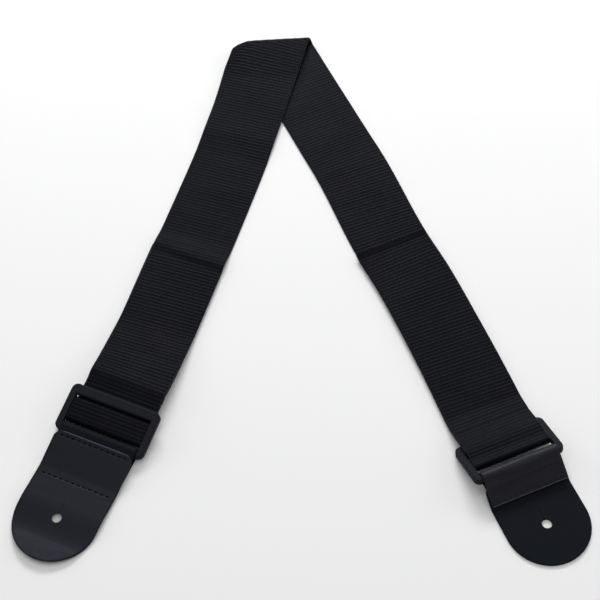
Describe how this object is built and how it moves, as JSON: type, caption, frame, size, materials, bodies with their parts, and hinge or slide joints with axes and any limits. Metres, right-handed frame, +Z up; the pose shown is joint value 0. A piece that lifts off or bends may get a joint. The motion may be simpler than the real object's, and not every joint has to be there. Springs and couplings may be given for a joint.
{
  "type": "guitar strap",
  "caption": "Adjustable webbing strap for a guitar, lying folded in a V, with plastic sliders and leather ends slotted for strap buttons.",
  "frame": {"origin": "middle of the folded strap's footprint, on the table it lies on", "axes": "+Z up off the table, +Y towards the fold at the top of the V, +X towards the leg that shows its back"},
  "size_m": [0.335, 0.4051, 0.0148],
  "materials": {
    "webbing": "ribbed black woven polypropylene",
    "slider": "satin black moulded",
    "leather": "fine grained, semi-matt black",
    "thread": "dark polyester thread"
  },
  "bodies": {
    "back_leg": {"web_back_leg": "webbing", "web_fold_turn": "webbing", "right_web_run": "webbing"},
    "front_leg": {"web_front_leg": "webbing", "left_web_run": "webbing"},
    "left_slider": {"left_slider": "slider", "left_web_wrap": "webbing", "left_web_tail": "webbing"},
    "right_slider": {"right_slider": "slider", "right_web_wrap": "webbing", "right_web_tail": "webbing"},
    "left_end": {"left_leather_tab": "leather", "left_leather_loop": "leather", "left_upper_stitching": "thread", "left_lower_stitching": "thread"},
    "right_end": {"right_leather_tab": "leather", "right_leather_loop": "leather", "right_upper_stitching": "thread", "right_lower_stitching": "thread"}
  },
  "joints": [
    {"name": "web_fold", "type": "hinge", "parent": "back_leg", "child": "front_leg", "pos_m": [-0.01953, 0.19632, 0.0041], "axis": [-0.9967, -0.0806, 0], "range_deg": [0, 175], "deforming": ["web_fold_turn"]},
    {"name": "left_slide", "type": "slide", "parent": "front_leg", "child": "left_slider", "axis": [-0.3098, -0.9508, 0], "range_m": [-0.035, 0.09], "deforming": ["left_web_run", "left_web_tail"]},
    {"name": "right_slide", "type": "slide", "parent": "back_leg", "child": "right_slider", "axis": [0.3501, -0.9367, 0], "range_m": [-0.035, 0.12], "deforming": ["right_web_run", "right_web_tail"]},
    {"name": "left_end_swing", "type": "hinge", "parent": "left_slider", "child": "left_end", "pos_m": [-0.12095, -0.12359, 0.0039], "axis": [-0.9225, 0.3859, 0], "range_deg": [0, 75]},
    {"name": "right_end_swing", "type": "hinge", "parent": "right_slider", "child": "right_end", "pos_m": [0.12744, -0.14313, 0.01089], "axis": [-0.9191, -0.3939, 0], "range_deg": [0, 75]}
  ]
}
